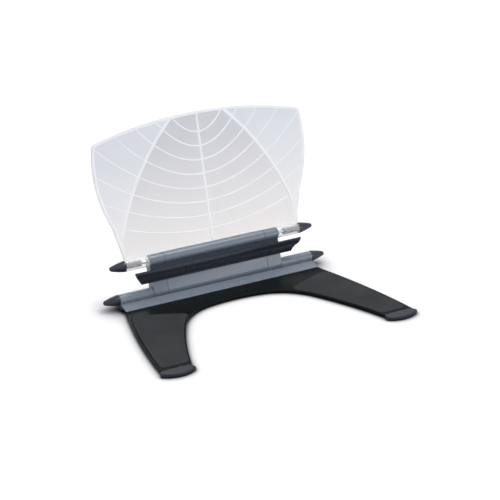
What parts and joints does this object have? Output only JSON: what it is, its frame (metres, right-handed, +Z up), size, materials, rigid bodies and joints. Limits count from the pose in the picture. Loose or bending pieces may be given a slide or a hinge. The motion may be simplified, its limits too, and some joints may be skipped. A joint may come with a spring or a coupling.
{
  "type": "desk copy holder",
  "caption": "Tilting desk copy holder: frosted plate above a lipped page ledge on a hinged arm, on a boomerang base with two forward legs.",
  "frame": {"origin": "on the desk plane, under the middle of the lower hinge", "axes": "+X to the reader's right along the hinges, +Y away from the reader, +Z up"},
  "size_m": [0.4228, 0.3013, 0.2637],
  "materials": {
    "base_black": "glossy moulded plastic",
    "pad_grey": "fine-grained matte, soft to the touch",
    "cap_navy": "satin",
    "slate_grey": "satin with a faint metallic fleck",
    "ledge_navy": "satin to glossy",
    "frosted_clear": "frosted translucent plastic",
    "steel": "ground rod and zinc-plated screws",
    "spring_steel": "rolled strip",
    "bearing_white": "low-friction plastic",
    "rubber_black": "matte rubber"
  },
  "bodies": {
    "base": {"base_shell": "base_black", "leg_pad_left": "pad_grey", "leg_pad_right": "pad_grey", "foot_cap_left": "cap_navy", "foot_cap_right": "cap_navy", "foot_grip_discs": "rubber_black", "rear_grip_strip": "rubber_black", "hinge_rail": "slate_grey", "rail_screws": "steel", "lower_shaft": "steel", "rail_cap_left": "cap_navy", "rail_cap_right": "cap_navy", "lower_washers": "bearing_white"},
    "arm": {"arm_frame": "slate_grey", "arm_cover": "slate_grey", "cover_screws": "steel", "document_ledge": "ledge_navy", "ledge_screws": "steel", "lower_friction_clips": "spring_steel", "upper_friction_clips": "spring_steel", "lower_bushes": "bearing_white", "upper_bushes": "bearing_white"},
    "plate": {"back_plate": "frosted_clear", "upper_shaft": "steel", "plate_cap_left": "cap_navy", "plate_cap_right": "cap_navy", "upper_washers": "bearing_white"}
  },
  "joints": [
    {"name": "arm_tilt", "type": "hinge", "parent": "base", "child": "arm", "pos_m": [0, 0, 0.015], "axis": [-1, 0, 0], "range_deg": [-20, 10]},
    {"name": "plate_tilt", "type": "hinge", "parent": "arm", "child": "plate", "pos_m": [0, 0.01082, 0.06187], "axis": [-1, 0, 0], "range_deg": [-90, 12]}
  ]
}
